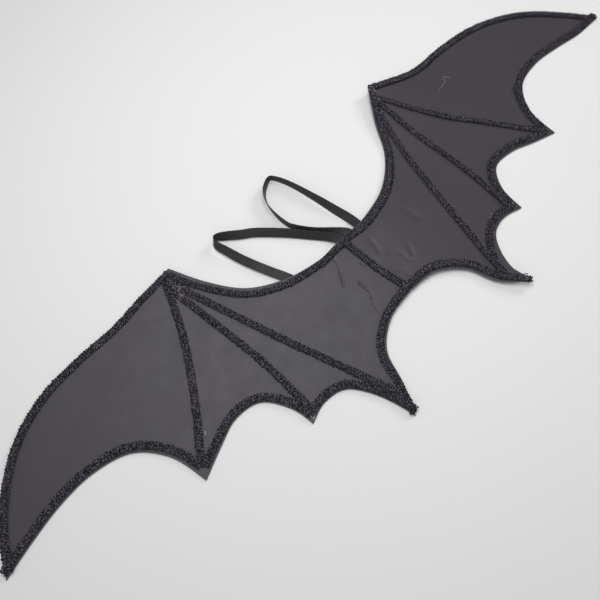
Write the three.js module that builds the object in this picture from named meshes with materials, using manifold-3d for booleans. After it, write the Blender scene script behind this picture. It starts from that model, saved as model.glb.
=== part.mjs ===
// Costume bat wings, lying with the decorated side up. One foam sheet makes both wings. Woven gimp braid is
// glued along its edge, its ribs and its middle, and two flat elastic arm loops are glued under its top edge.
// Millimetres: X runs along the span, Y towards the peaks, Z up from the surface that the wings lie on.
import * as THREE from "three";
import Module from "manifold-3d";

// Driving dimensions
const halfSpan = 450; // from the middle to a wing tip
const depth = 291; // from the inner tips to the higher peak
const peakShare = 0.39; // share of the depth that lies above the middle of the top edge
const foamThickness = 2;
const arch = 9; // how far the sheet rises where it curls most
const braidWidth = 9;
const braidThickness = 2.6;
const shoulderShare = 0.6; // height of the braid's side walls, as a share of its thickness
const crownShare = 0.62; // width of the braid's flat top, as a share of its width
const strapWidth = 10;
const strapThickness = 1;
const loopReach = 105; // how far the arm loops reach beyond the top edge
const glueLength = 13; // length of each strap end that is glued to the sheet
const gap = 0.35; // clearance between pieces that touch

// How finely the shapes are cut
const rowsAcross = 9; // strips from the upper edge to the lower edge
const braidStep = 9;
const ribStep = 24;
const strapSteps = 64;

// The outline, one smooth stretch after another. Each row is [x, y], as shares of halfSpan and of depth,
// from the middle of the top edge.
const leftOutline = {
  top: [[0, 0], [-0.05, -0.001], [-0.1, 0], [-0.182, 0.035], [-0.26, 0.11], [-0.314, 0.229],
    [-0.355, 0.36]],
  leading: [[-0.355, 0.36], [-0.448, 0.349], [-0.539, 0.335], [-0.636, 0.335], [-0.739, 0.319],
    [-0.834, 0.261], [-0.913, 0.16], [-0.967, 0.05], [-1, -0.057]],
  outer: [[-1, -0.057], [-0.926, -0.027], [-0.843, -0.002], [-0.76, 0], [-0.68, -0.039],
    [-0.628, -0.14], [-0.608, -0.27]],
  middle: [[-0.608, -0.27], [-0.544, -0.229], [-0.481, -0.197], [-0.42, -0.216], [-0.383, -0.305],
    [-0.373, -0.388]],
  inner: [[-0.373, -0.388], [-0.326, -0.367], [-0.274, -0.384], [-0.24, -0.453], [-0.22, -0.533],
    [-0.208, -0.61]],
  centre: [[-0.208, -0.61], [-0.173, -0.507], [-0.144, -0.396], [-0.081, -0.33], [0, -0.312]],
};
const rightOutline = {
  top: [[0, 0], [0.054, -0.001], [0.151, 0.038], [0.232, 0.13], [0.287, 0.262], [0.347, 0.386]],
  leading: [[0.347, 0.386], [0.469, 0.325], [0.6, 0.324], [0.729, 0.293], [0.845, 0.207],
    [0.928, 0.084], [1, -0.057]],
  outer: [[1, -0.057], [0.913, -0.055], [0.827, -0.032], [0.741, -0.019], [0.657, -0.048],
    [0.604, -0.15], [0.594, -0.28]],
  middle: [[0.594, -0.28], [0.532, -0.248], [0.471, -0.213], [0.406, -0.212], [0.366, -0.288],
    [0.356, -0.39]],
  inner: [[0.356, -0.39], [0.305, -0.369], [0.255, -0.387], [0.222, -0.45], [0.206, -0.527],
    [0.213, -0.6]],
  centre: [[0.213, -0.6], [0.159, -0.513], [0.13, -0.402], [0.071, -0.328], [0, -0.312]],
};

// Where the sheet curls up from the surface: x and reachX as shares of halfSpan, y and reachY as shares of
// depth, and the rise at the middle of the swell in millimetres.
const swells = [
  { x: 0.067, y: -0.19, reachX: 0.4, reachY: 0.45, rise: 0.65 * arch },
  { x: -0.078, y: 0, reachX: 0.34, reachY: 0.36, rise: 3.5 * strapThickness },
  { x: 0.373, y: 0.405, reachX: 0.24, reachY: 0.42, rise: arch },
  { x: -0.367, y: 0.385, reachX: 0.18, reachY: 0.25, rise: 0.35 * arch },
  { x: 0.222, y: -0.612, reachX: 0.2, reachY: 0.31, rise: 0.6 * arch },
];

// How the sheet is cut into fields between its upper and its lower edge. Each field runs under a share of
// an upper stretch and along one whole lower stretch.
const fields = [
  { upper: "top", from: 0, to: 0.36, lower: "centre", columns: 14 },
  { upper: "top", from: 0.36, to: 0.68, lower: "inner", columns: 10 },
  { upper: "top", from: 0.68, to: 1, lower: "middle", columns: 12 },
  { upper: "leading", from: 0, to: 1, lower: "outer", columns: 18 },
];

// Braid along the edge. from and to are the part of the stretch that it covers, as shares of the stretch's
// length. margins says how far the foam shows beyond it, in rows of [share of the stretch, margin as a share
// of braidWidth]; below 0 the braid overhangs the foam.
const topBraid = {
  from: 0.012,
  to: 0.988,
  margins: [[0, 0.3], [0.06, 0.42], [0.25, 0.35], [0.4, 0.08], [1, 0.05]],
};
const centreBraid = {
  from: 0.012,
  to: 0.988,
  margins: [[0, -0.42], [0.08, -0.08], [0.25, 0.22], [0.5, 0.12], [0.62, 0.22], [0.85, 0.22], [0.93, 0.1],
    [1, -0.42]],
};
const leftBraids = [
  { name: "leading_braid_left", stretch: "leading", from: 0, to: 0.985,
    margins: [[0, 0.05], [0.12, -0.06], [0.4, 0], [1, 0]] },
  { name: "outer_scallop_braid_left", stretch: "outer", from: 0.02, to: 0.945,
    margins: [[0, 0.05], [0.5, 0.12], [1, 0.3]] },
  { name: "middle_scallop_braid_left", stretch: "middle", from: 0.08, to: 0.95,
    margins: [[0, 0.25], [0.5, 0.06], [1, 0.12]] },
  { name: "inner_scallop_braid_left", stretch: "inner", from: 0.09, to: 0.97,
    margins: [[0, 0.12], [0.5, 0.03], [1, 0]] },
];
const rightBraids = [
  { name: "leading_braid_right", stretch: "leading", from: 0, to: 0.985,
    margins: [[0, 0.05], [0.5, 0], [0.8, -0.06], [1, 0]] },
  { name: "tip_braid_right", stretch: "outer", from: 0.02, to: 0.7,
    margins: [[0, 0.05], [0.5, 0.1], [1, 0.06]] },
  { name: "outer_scallop_braid_right", stretch: "outer", from: 0.68, to: 0.95,
    margins: [[0.68, 0.3], [0.8, 0.12], [1, 0.15]] },
  { name: "middle_scallop_braid_right", stretch: "middle", from: 0.07, to: 0.95,
    margins: [[0, 0.2], [0.5, 0.25], [1, 0.25]] },
  { name: "inner_scallop_braid_right", stretch: "inner", from: 0.08, to: 0.7,
    margins: [[0, 0.2], [0.3, 0.26], [0.5, 0.45], [0.7, 0.8]] },
];

// Ribs from each peak to the three points. Each row is [x, y], as in the outline.
const leftRibs = [
  [[-0.383, 0.327], [-0.438, 0.138], [-0.511, -0.046], [-0.59, -0.215]],
  [[-0.384, 0.284], [-0.368, 0.079], [-0.355, -0.134], [-0.354, -0.34]],
  [[-0.374, 0.304], [-0.326, 0.069], [-0.286, -0.124], [-0.245, -0.306], [-0.199, -0.515]],
];
const rightRibs = [
  [[0.339, 0.317], [0.415, 0.115], [0.489, -0.051], [0.568, -0.229]],
  [[0.33, 0.312], [0.336, 0.074], [0.341, -0.123], [0.336, -0.34]],
  [[0.309, 0.268], [0.264, 0.043], [0.234, -0.126], [0.209, -0.295], [0.182, -0.504]],
];
const centreLine = [[-0.022, -0.02], [-0.019, -0.159], [-0.004, -0.293]];

// The arm loops, from one glued end to the other. x and y are shares of loopReach, lift is the height of the
// strap's middle as a share of strapWidth, and roll turns the strap about its length: at 0 and 180 degrees
// it lies flat, and at 90 it stands on its edge. The first and last rows are where the strap leaves the
// sheet, flat against its underside.
const leftLoop = [
  { x: -0.081, y: 0, roll: 180 },
  { x: -0.145, y: 0.1, lift: 0.54, roll: 150 },
  { x: -0.286, y: 0.276, lift: 0.5, roll: 138 },
  { x: -0.43, y: 0.457, lift: 0.46, roll: 148 },
  { x: -0.63, y: 0.667, lift: 0.42, roll: 152 },
  { x: -0.762, y: 0.766, lift: 0.43, roll: 150 },
  { x: -0.87, y: 0.85, lift: 0.5, roll: 140 },
  { x: -0.96, y: 0.905, lift: 0.62, roll: 115 },
  { x: -1.005, y: 0.895, lift: 0.72, roll: 85 },
  { x: -1.02, y: 0.83, lift: 0.72, roll: 52 },
  { x: -0.99, y: 0.715, lift: 0.66, roll: 36 },
  { x: -0.952, y: 0.571, lift: 0.6, roll: 27 },
  { x: -0.895, y: 0.41, lift: 0.53, roll: 24 },
  { x: -0.819, y: 0.238, lift: 0.35, roll: 14 },
  { x: -0.745, y: 0.08, roll: 0 },
];
const rightLoop = [
  { x: 0.165, y: 0, roll: 180 },
  { x: 0.155, y: 0.126, lift: 0.36, roll: 152 },
  { x: 0.121, y: 0.277, lift: 0.48, roll: 134 },
  { x: 0.092, y: 0.431, lift: 0.57, roll: 118 },
  { x: 0.064, y: 0.563, lift: 0.6, roll: 109 },
  { x: 0.038, y: 0.685, lift: 0.61, roll: 102 },
  { x: 0.006, y: 0.808, lift: 0.62, roll: 97 },
  { x: -0.036, y: 0.93, lift: 0.62, roll: 93 },
  { x: -0.094, y: 1.004, lift: 0.62, roll: 82 },
  { x: -0.175, y: 1.016, lift: 0.62, roll: 76 },
  { x: -0.268, y: 0.944, lift: 0.62, roll: 72 },
  { x: -0.328, y: 0.82, lift: 0.62, roll: 78 },
  { x: -0.356, y: 0.68, lift: 0.62, roll: 90 },
  { x: -0.356, y: 0.56, lift: 0.62, roll: 92 },
  { x: -0.335, y: 0.46, lift: 0.61, roll: 84 },
  { x: -0.227, y: 0.28, lift: 0.58, roll: 66 },
  { x: -0.074, y: 0.116, lift: 0.46, roll: 42 },
  { x: 0.026, y: 0, roll: 0 },
];

const foam = new THREE.MeshStandardMaterial({ color: 0x55545a, roughness: 0.55, metalness: 0 });
const gimp = new THREE.MeshStandardMaterial({ color: 0x26242a, roughness: 0.45, metalness: 0.1 });
const elastic = new THREE.MeshStandardMaterial({ color: 0x2e3033, roughness: 0.7, metalness: 0 });

const wasm = await Module();
wasm.setup();

const curveThrough = (rows) =>
  new THREE.SplineCurve(rows.map(([x, y]) => new THREE.Vector2(x * halfSpan, y * depth)));

// Height of the sheet's underside at a place.
function liftAt(x, y) {
  return swells.reduce((height, swell) => {
    const across = (x - swell.x * halfSpan) / (swell.reachX * halfSpan);
    const along = (y - swell.y * depth) / (swell.reachY * depth);
    const inside = Math.max(0, 1 - across * across - along * along);
    return height + swell.rise * inside ** 3;
  }, 0);
}

// Collects triangles by their corners, merging corners at one place and leaving out triangles that
// collapsed to a line, as they do at a wing's tip.
class Shell {
  positions = [];
  indices = [];
  places = new Map();

  corner(x, y, z) {
    const key = [x, y, z].map((v) => Math.round(v * 1e4)).join();
    if (!this.places.has(key)) {
      this.places.set(key, this.positions.length / 3);
      this.positions.push(x, y, z);
    }
    return this.places.get(key);
  }

  triangle(a, b, c) {
    if (a !== b && b !== c && c !== a) this.indices.push(a, b, c);
  }

  quad(a, b, c, d) {
    this.triangle(a, b, c);
    this.triangle(a, c, d);
  }

  geometry() {
    const made = new THREE.BufferGeometry();
    made.setAttribute("position", new THREE.Float32BufferAttribute(this.positions, 3));
    made.setIndex(this.indices);
    made.computeVertexNormals();
    return made;
  }
}

// The columns of points from the upper edge to the lower edge of one wing, from the middle to the tip.
function wingColumns(outline) {
  const columns = [];
  for (const field of fields) {
    const upper = curveThrough(outline[field.upper]);
    const lower = curveThrough(outline[field.lower]);
    for (let i = columns.length ? 1 : 0; i <= field.columns; i++) {
      const share = i / field.columns;
      const top = upper.getPointAt(field.from + (field.to - field.from) * share);
      const bottom = lower.getPointAt(1 - share);
      columns.push(
        Array.from({ length: rowsAcross + 1 }, (_, row) => top.clone().lerp(bottom, row / rowsAcross)),
      );
    }
  }
  return columns;
}

// The foam sheet: both wings in one piece, foamThickness thick, curled as the swells say.
function panelGeometry() {
  const left = wingColumns(leftOutline).reverse();
  const columns = [...left, ...wingColumns(rightOutline).slice(1)];
  const shell = new Shell();
  const layer = (height) =>
    columns.map((column) => column.map(({ x, y }) => shell.corner(x, y, liftAt(x, y) + height)));
  const under = layer(0);
  const over = layer(foamThickness);
  for (let i = 0; i + 1 < columns.length; i++) {
    for (let row = 0; row < rowsAcross; row++) {
      shell.quad(over[i][row], over[i][row + 1], over[i + 1][row + 1], over[i + 1][row]);
      shell.quad(under[i][row], under[i + 1][row], under[i + 1][row + 1], under[i][row + 1]);
    }
    shell.quad(under[i][0], over[i][0], over[i + 1][0], under[i + 1][0]);
    const last = rowsAcross;
    shell.quad(over[i][last], under[i][last], under[i + 1][last], over[i + 1][last]);
  }
  return shell.geometry();
}

// Sweeps a closed section along frames. Each frame turns a section point into a place.
function sweep(frames, section) {
  const shell = new Shell();
  const rings = frames.map((place) => section.map((point) => shell.corner(...place(point))));
  const sides = section.length;
  for (let i = 0; i + 1 < rings.length; i++) {
    for (let k = 0; k < sides; k++) {
      const next = (k + 1) % sides;
      shell.quad(rings[i][k], rings[i + 1][k], rings[i + 1][next], rings[i][next]);
    }
  }
  const [first, last] = [rings[0], rings.at(-1)];
  for (let k = 1; k + 1 < sides; k++) {
    shell.triangle(first[0], first[k], first[k + 1]);
    shell.triangle(last[0], last[k + 1], last[k]);
  }
  return shell.geometry();
}

// A strip laid on the sheet along a flat line, with its section given as [across, up] over the seat.
function stripGeometry(line, section) {
  const frames = line.map((at, i) => {
    const ahead = line[Math.min(i + 1, line.length - 1)];
    const behind = line[Math.max(i - 1, 0)];
    const along = ahead.clone().sub(behind).normalize();
    return ([across, up]) => {
      const x = at.x + along.y * across;
      const y = at.y - along.x * across;
      return [x, y, liftAt(x, y) + foamThickness + gap + up];
    };
  });
  return sweep(frames, section);
}

const half = braidWidth / 2;
const shoulder = shoulderShare * braidThickness;
const crown = crownShare * half;
const braidSection = [
  [-half, 0],
  [half, 0],
  [half, shoulder],
  [crown, braidThickness],
  [-crown, braidThickness],
  [-half, shoulder],
];
// What keeps other braids clear of a braid: its section, one gap wider all round and open below and above.
const clearSection = [
  [-half - gap, -braidThickness],
  [half + gap, -braidThickness],
  [half + gap, 2 * braidThickness],
  [-half - gap, 2 * braidThickness],
];

function marginAt(margins, share) {
  const next = margins.findIndex(([at]) => at >= share);
  if (next <= 0) return margins[0][1];
  const [[before, start], [after, end]] = [margins[next - 1], margins[next]];
  return THREE.MathUtils.mapLinear(share, before, after, start, end);
}

// A line inside a stretch of the outline, for braid that follows the edge. The sheet lies to the right of
// the stretch when inward is -1 and to its left when inward is 1.
function edgeLine(rows, { from, to, margins }, inward) {
  const curve = curveThrough(rows);
  const steps = Math.max(2, Math.round(((to - from) * curve.getLength()) / braidStep));
  return Array.from({ length: steps + 1 }, (_, i) => {
    const share = from + ((to - from) * i) / steps;
    const inset = inward * (half + marginAt(margins, share) * braidWidth);
    const { x, y } = curve.getTangentAt(share);
    return curve.getPointAt(share).add(new THREE.Vector2(-y * inset, x * inset));
  });
}

function straightLine(rows) {
  const curve = curveThrough(rows);
  return curve.getSpacedPoints(Math.max(2, Math.round(curve.getLength() / ribStep)));
}

const solidOf = (geometry) =>
  new wasm.Manifold(
    new wasm.Mesh({
      numProp: 3,
      vertProperties: new Float32Array(geometry.attributes.position.array),
      triVerts: new Uint32Array(geometry.index.array),
    }),
  );

function geometryOf(solid) {
  const { vertProperties, triVerts } = solid.getMesh();
  const made = new THREE.BufferGeometry();
  made.setAttribute("position", new THREE.BufferAttribute(vertProperties, 3));
  made.setIndex(new THREE.BufferAttribute(triVerts, 1));
  made.computeVertexNormals();
  return made;
}

// Every line of braid, in the order in which it is glued on.
function braidLines() {
  const lines = [];
  const add = (name, line) => lines.push({ name, line });
  const topRows = [...leftOutline.top.toReversed(), ...rightOutline.top.slice(1)];
  const centreRows = [...leftOutline.centre, ...rightOutline.centre.toReversed().slice(1)];
  add("top_braid", edgeLine(topRows, topBraid, -1));
  add("centre_scallop_braid", edgeLine(centreRows, centreBraid, 1));
  const wings = [
    { side: "left", outline: leftOutline, braids: leftBraids, ribs: leftRibs, inward: 1 },
    { side: "right", outline: rightOutline, braids: rightBraids, ribs: rightRibs, inward: -1 },
  ];
  for (const { outline, braids, inward } of wings)
    for (const braid of braids) add(braid.name, edgeLine(outline[braid.stretch], braid, inward));
  for (const { side, ribs } of wings)
    ribs.forEach((rows, i) => add(`rib_braid_${side}_${i + 1}`, straightLine(rows)));
  add("centre_braid", straightLine(centreLine));
  return lines;
}

// Each braid as a mesh, cut back where it would run over a braid that was glued on before it.
function braidMeshes() {
  const laid = [];
  return braidLines().map(({ name, line }) => {
    let solid = solidOf(stripGeometry(line, braidSection));
    for (const earlier of laid) solid = solid.subtract(earlier);
    const [kept] = solid.decompose().sort((a, b) => b.volume() - a.volume());
    laid.push(solidOf(stripGeometry(line, clearSection)));
    return mesh(name, geometryOf(kept), gimp);
  });
}

// A strap loop. Its ends run glueLength under the sheet, flat against it.
function strapGeometry(rows) {
  const free = rows.slice(1, -1).map(({ x, y, lift, roll }) => ({
    x: x * loopReach,
    y: y * loopReach,
    z: lift * strapWidth,
    roll,
  }));
  const glued = (row, share) => {
    const x = row.x * loopReach;
    const y = row.y * loopReach - share * glueLength;
    const ceiling = Math.min(liftAt(x - strapWidth / 2, y), liftAt(x + strapWidth / 2, y));
    return { x, y, z: ceiling - gap - strapThickness / 2, roll: row.roll };
  };
  const [first, last] = [rows[0], rows.at(-1)];
  const stations = [
    ...[1, 0.5, 0].map((share) => glued(first, share)),
    ...free,
    ...[0, 0.5, 1].map((share) => glued(last, share)),
  ];
  const places = stations.map(({ x, y, z }) => new THREE.Vector3(x, y, z));
  const path = new THREE.CatmullRomCurve3(places, false, "centripetal");
  const turns = new THREE.SplineCurve(stations.map(({ roll }, i) => new THREE.Vector2(i, roll)));
  const up = new THREE.Vector3(0, 0, 1);
  const frames = Array.from({ length: strapSteps + 1 }, (_, i) => {
    const t = path.getUtoTmapping(i / strapSteps);
    const along = path.getTangent(t);
    const side = new THREE.Vector3().crossVectors(up, along).normalize();
    const rise = new THREE.Vector3().crossVectors(along, side);
    const roll = THREE.MathUtils.degToRad(turns.getPoint(t).y);
    const across = side.clone().multiplyScalar(Math.cos(roll)).addScaledVector(rise, Math.sin(roll));
    const through = new THREE.Vector3().crossVectors(along, across);
    const middle = path.getPoint(t);
    return ([wide, thick]) =>
      middle.clone().addScaledVector(across, wide).addScaledVector(through, thick).toArray();
  });
  const wide = strapWidth / 2;
  const thick = strapThickness / 2;
  return sweep(frames, [[-wide, -thick], [-wide, thick], [wide, thick], [wide, -thick]]);
}

function mesh(name, geometry, material) {
  const made = new THREE.Mesh(geometry, material);
  made.name = name;
  return made;
}

const wings = new THREE.Group();
wings.position.y = (0.5 - peakShare) * depth;
wings.add(
  mesh("panel", panelGeometry(), foam),
  ...braidMeshes(),
  mesh("strap_left", strapGeometry(leftLoop), elastic),
  mesh("strap_right", strapGeometry(rightLoop), elastic),
);

export default wings;
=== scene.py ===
"""Bat wings of craft foam: the sheet, the woven braid glued on it, the elastic arm loops and the studio."""

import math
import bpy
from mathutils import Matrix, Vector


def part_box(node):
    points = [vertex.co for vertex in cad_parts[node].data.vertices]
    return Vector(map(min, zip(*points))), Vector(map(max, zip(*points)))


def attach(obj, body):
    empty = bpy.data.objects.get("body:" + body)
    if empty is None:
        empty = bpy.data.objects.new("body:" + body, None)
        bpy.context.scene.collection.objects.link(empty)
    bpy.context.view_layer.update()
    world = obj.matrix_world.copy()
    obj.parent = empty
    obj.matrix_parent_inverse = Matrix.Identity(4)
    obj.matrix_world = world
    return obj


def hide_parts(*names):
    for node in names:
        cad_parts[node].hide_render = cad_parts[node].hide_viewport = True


bl_info = {
    "name": "Bat wings",
    "version": (1, 0, 0),
    "blender": (4, 5, 0),
    "location": "3D View > Sidebar > Bat wings",
    "description": "Foam bat wings with woven braid and elastic arm loops, lying on a pale floor",
    "category": "Object",
}

import bpy
import numpy as np
from bpy.props import FloatProperty, FloatVectorProperty, PointerProperty
from mathutils import Matrix, Vector

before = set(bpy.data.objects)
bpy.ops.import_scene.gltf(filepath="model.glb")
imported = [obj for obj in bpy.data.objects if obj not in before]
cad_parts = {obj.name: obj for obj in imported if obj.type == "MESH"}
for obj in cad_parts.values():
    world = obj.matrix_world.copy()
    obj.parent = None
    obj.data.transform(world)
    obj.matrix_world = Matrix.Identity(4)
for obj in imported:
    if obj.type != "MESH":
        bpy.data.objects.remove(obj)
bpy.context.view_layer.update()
BODY = "root"
MM = 0.001
TURN = 2 * math.pi

# The outline, one smooth stretch after another. Each row is [x, y], as shares of the half span and of the
# depth, from the middle of the top edge.
LEFT = {
    "top": [[0, 0], [-0.05, -0.001], [-0.1, 0], [-0.182, 0.035], [-0.26, 0.11], [-0.314, 0.229],
            [-0.355, 0.36]],
    "leading": [[-0.355, 0.36], [-0.448, 0.349], [-0.539, 0.335], [-0.636, 0.335], [-0.739, 0.319],
                [-0.834, 0.261], [-0.913, 0.16], [-0.967, 0.05], [-1, -0.057]],
    "outer": [[-1, -0.057], [-0.926, -0.027], [-0.843, -0.002], [-0.76, 0], [-0.68, -0.039],
              [-0.628, -0.14], [-0.608, -0.27]],
    "middle": [[-0.608, -0.27], [-0.544, -0.229], [-0.481, -0.197], [-0.42, -0.216], [-0.383, -0.305],
               [-0.373, -0.388]],
    "inner": [[-0.373, -0.388], [-0.326, -0.367], [-0.274, -0.384], [-0.24, -0.453], [-0.22, -0.533],
              [-0.208, -0.61]],
    "centre": [[-0.208, -0.61], [-0.173, -0.507], [-0.144, -0.396], [-0.081, -0.33], [0, -0.312]],
}
RIGHT = {
    "top": [[0, 0], [0.054, -0.001], [0.151, 0.038], [0.232, 0.13], [0.287, 0.262], [0.347, 0.386]],
    "leading": [[0.347, 0.386], [0.469, 0.325], [0.6, 0.324], [0.729, 0.293], [0.845, 0.207],
                [0.928, 0.084], [1, -0.057]],
    "outer": [[1, -0.057], [0.913, -0.055], [0.827, -0.032], [0.741, -0.019], [0.657, -0.048],
              [0.604, -0.15], [0.594, -0.28]],
    "middle": [[0.594, -0.28], [0.532, -0.248], [0.471, -0.213], [0.406, -0.212], [0.366, -0.288],
               [0.356, -0.39]],
    "inner": [[0.356, -0.39], [0.305, -0.369], [0.255, -0.387], [0.222, -0.45], [0.206, -0.527],
              [0.213, -0.6]],
    "centre": [[0.213, -0.6], [0.159, -0.513], [0.13, -0.402], [0.071, -0.328], [0, -0.312]],
}
PEAK_Y = 0.386
FOOT_Y = -0.61

# Where the sheet curls up: x, y and reaches as shares of the half span and of the depth, and the rise in
# the middle as a share of the curl.
SWELLS = [
    {"x": 0.067, "y": -0.19, "reach_x": 0.4, "reach_y": 0.45, "rise": 0.65},
    {"x": -0.078, "y": 0, "reach_x": 0.34, "reach_y": 0.36, "rise": 0.39},
    {"x": 0.373, "y": 0.405, "reach_x": 0.24, "reach_y": 0.42, "rise": 1},
    {"x": -0.367, "y": 0.385, "reach_x": 0.18, "reach_y": 0.25, "rise": 0.35},
    {"x": 0.222, "y": -0.612, "reach_x": 0.2, "reach_y": 0.31, "rise": 0.6},
]

# Creases pressed into the sheet: rows of [x, y] as in the outline, how far their sides reach, and how deep
# they are at their start and end, in metres.
CREASES = [
    {"rows": [[-0.071, -0.038], [-0.074, -0.062], [-0.088, -0.098], [-0.103, -0.134]],
     "reach": 1.5 * MM, "start": 0.45 * MM, "end": 1 * MM},
    {"rows": [[-0.073, -0.167], [-0.071, -0.181], [-0.071, -0.199], [-0.071, -0.223]],
     "reach": 1.2 * MM, "start": 1.6 * MM, "end": 0.6 * MM},
    {"rows": [[-0.078, -0.231], [-0.079, -0.24]], "reach": 1.3 * MM, "start": 0.8 * MM, "end": 0.8 * MM},
    {"rows": [[-0.035, -0.119], [-0.031, -0.135]], "reach": 1.3 * MM, "start": 0.7 * MM, "end": 0.5 * MM},
    {"rows": [[-0.086, -0.25], [-0.093, -0.297]], "reach": 1.6 * MM, "start": 0.5 * MM, "end": 0.3 * MM},
    {"rows": [[0.0245, -0.084], [0.023, -0.105], [0.017, -0.132]],
     "reach": 3 * MM, "start": 0.45 * MM, "end": 0.6 * MM},
    {"rows": [[0.0295, -0.166], [0.045, -0.176], [0.05, -0.206]],
     "reach": 3 * MM, "start": 0.5 * MM, "end": 0.45 * MM},
    {"rows": [[0.079, -0.184], [0.074, -0.206], [0.068, -0.226]],
     "reach": 2.5 * MM, "start": 0.35 * MM, "end": 0.6 * MM},
    {"rows": [[0.049, -0.22], [0.061, -0.247]], "reach": 2 * MM, "start": 0.4 * MM, "end": 0.3 * MM},
    {"rows": [[0.006, -0.216], [0.018, -0.238], [0.025, -0.264]],
     "reach": 3 * MM, "start": 0.4 * MM, "end": 0.35 * MM},
    {"rows": [[0.146, -0.084], [0.149, -0.112], [0.152, -0.14]],
     "reach": 4 * MM, "start": 0.35 * MM, "end": 0.5 * MM},
]
CREASE_STEPS = 6
# Shallow dents: middles as in the outline, reach and depth in metres.
DENTS = [
    {"x": 0.036, "y": -0.09, "reach": 13 * MM, "depth": 0.5 * MM},
    {"x": 0.03, "y": -0.215, "reach": 11 * MM, "depth": 0.45 * MM},
    {"x": -0.14, "y": -0.2, "reach": 20 * MM, "depth": 0.5 * MM},
    {"x": -0.3, "y": -0.1, "reach": 17 * MM, "depth": 0.35 * MM},
    {"x": 0.42, "y": 0.06, "reach": 18 * MM, "depth": 0.4 * MM},
    {"x": 0.6, "y": 0.12, "reach": 26 * MM, "depth": 0.45 * MM},
    {"x": -0.7, "y": 0.15, "reach": 30 * MM, "depth": 0.45 * MM},
]
# The sheet's slight waviness: its height, and its waves in radians to a metre with their starts in radians.
RIPPLE = 0.35 * MM
RIPPLE_WAVES = [{"x": 97, "y": 31, "start": 0}, {"x": 53, "y": -88, "start": 1.3}]

# Dried glue on the sheet and the braid, in rows of [x, y, length, width, turn]: the middle as in the outline,
# the size in millimetres and the turn of the length in degrees.
SPECKS = [
    [-0.3742, 0.272, 1.3, 1.1, 0],
    [-0.3783, 0.241, 1.1, 0.9, 40],
    [-0.5458, -0.159, 4.6, 1.2, -128],
    [-0.3641, -0.3765, 2.6, 1.6, 20],
    [-0.3665, -0.367, 1.4, 1.0, 75],
    [0.3479, -0.355, 1.9, 1.5, 10],
    [0.2881, -0.325, 1.4, 1.2, 0],
    [0.2778, -0.33, 1.2, 0.9, 60],
    [-0.3688, -0.034, 1.0, 0.8, 0],
    [-0.3659, -0.078, 0.9, 0.8, 0],
    [-0.3929, -0.2173, 1.1, 0.9, 30],
    [-0.3869, -0.2314, 1.4, 0.9, 0],
    [-0.3846, -0.242, 1.0, 0.8, 80],
    [0.4695, 0.2736, 1.1, 0.9, 0],
]
BLOB_SIDES = 10
BLOB_RINGS = 5
BLOB_HEIGHT = 0.25
BLOB_UNEVENNESS = 0.18
# A pale smear of dried glue, in rows of [x, y] as in the outline.
SMEAR = [[0.538, 0.189], [0.532, 0.203], [0.527, 0.213], [0.52, 0.198], [0.513, 0.188], [0.501, 0.184],
         [0.485, 0.18]]
SMEAR_WIDTH = 0.36 * MM
SMEAR_FLATNESS = 0.2
SMEAR_STEPS = 4

# Tangles of loose yarn at cut ends of braid: middles as in the outline, how far they spread, how many ends.
TANGLES = [
    {"x": -0.369, "y": 0.279, "reach": 6.5 * MM, "ends": 15},
    {"x": -0.376, "y": 0.25, "reach": 3.5 * MM, "ends": 6},
    {"x": 0.344, "y": 0.345, "reach": 3.5 * MM, "ends": 7},
    {"x": 0.332, "y": 0.31, "reach": 3.5 * MM, "ends": 5},
    {"x": 0.208, "y": -0.56, "reach": 2 * MM, "ends": 4},
    {"x": 0.206, "y": -0.574, "reach": 1.6 * MM, "ends": 2},
    {"x": -0.006, "y": -0.285, "reach": 3 * MM, "ends": 3},
]
TANGLE_SPREAD = 0.4
# Each loose end: its length, the radius of its curl, how far it arches up and how high it lies, in metres,
# and its thickness as a share of the braid's yarn.
CURL_LENGTHS = (4 * MM, 8 * MM)
CURL_RADII = (2.2 * MM, 10 * MM)
CURL_ARCHES = (0, 0.7 * MM)
CURL_SEATS = (-0.1 * MM, 0.25 * MM)
CURL_THICKNESS = 0.8
CURL_FLATNESS = 0.9
CURL_POINTS = 16
CURL_SMOOTHING = 5
# A ring of yarn on the right peak, which winds up as it goes round.
RING = {"x": 0.3436, "y": 0.363, "radius": 2.5 * MM, "thick": 1.5 * MM, "rise": 1.1 * MM}
RING_TURNS = 1.25
RING_POINTS = 30
DETAILS_SEED = 5

# Fields between the upper and the lower edge of a wing, with the part of the upper stretch over each.
FIELDS = [
    {"upper": "top", "from": 0, "to": 0.36, "lower": "centre", "columns": 92},
    {"upper": "top", "from": 0.36, "to": 0.68, "lower": "inner", "columns": 44},
    {"upper": "top", "from": 0.68, "to": 1, "lower": "middle", "columns": 44},
    {"upper": "leading", "from": 0, "to": 1, "lower": "outer", "columns": 84},
]
ROWS_OVER = 96
ROWS_UNDER = 12
# The cut edge: its rounding as a share of the thickness, rows of points close to it in multiples of the
# rounding, and the most of the sheet that those rows may take.
EDGE_ROUNDING = 0.4
EDGE_ROWS = [0, 0.12, 0.4, 1, 1.8]
EDGE_REACH = 0.25

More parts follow.
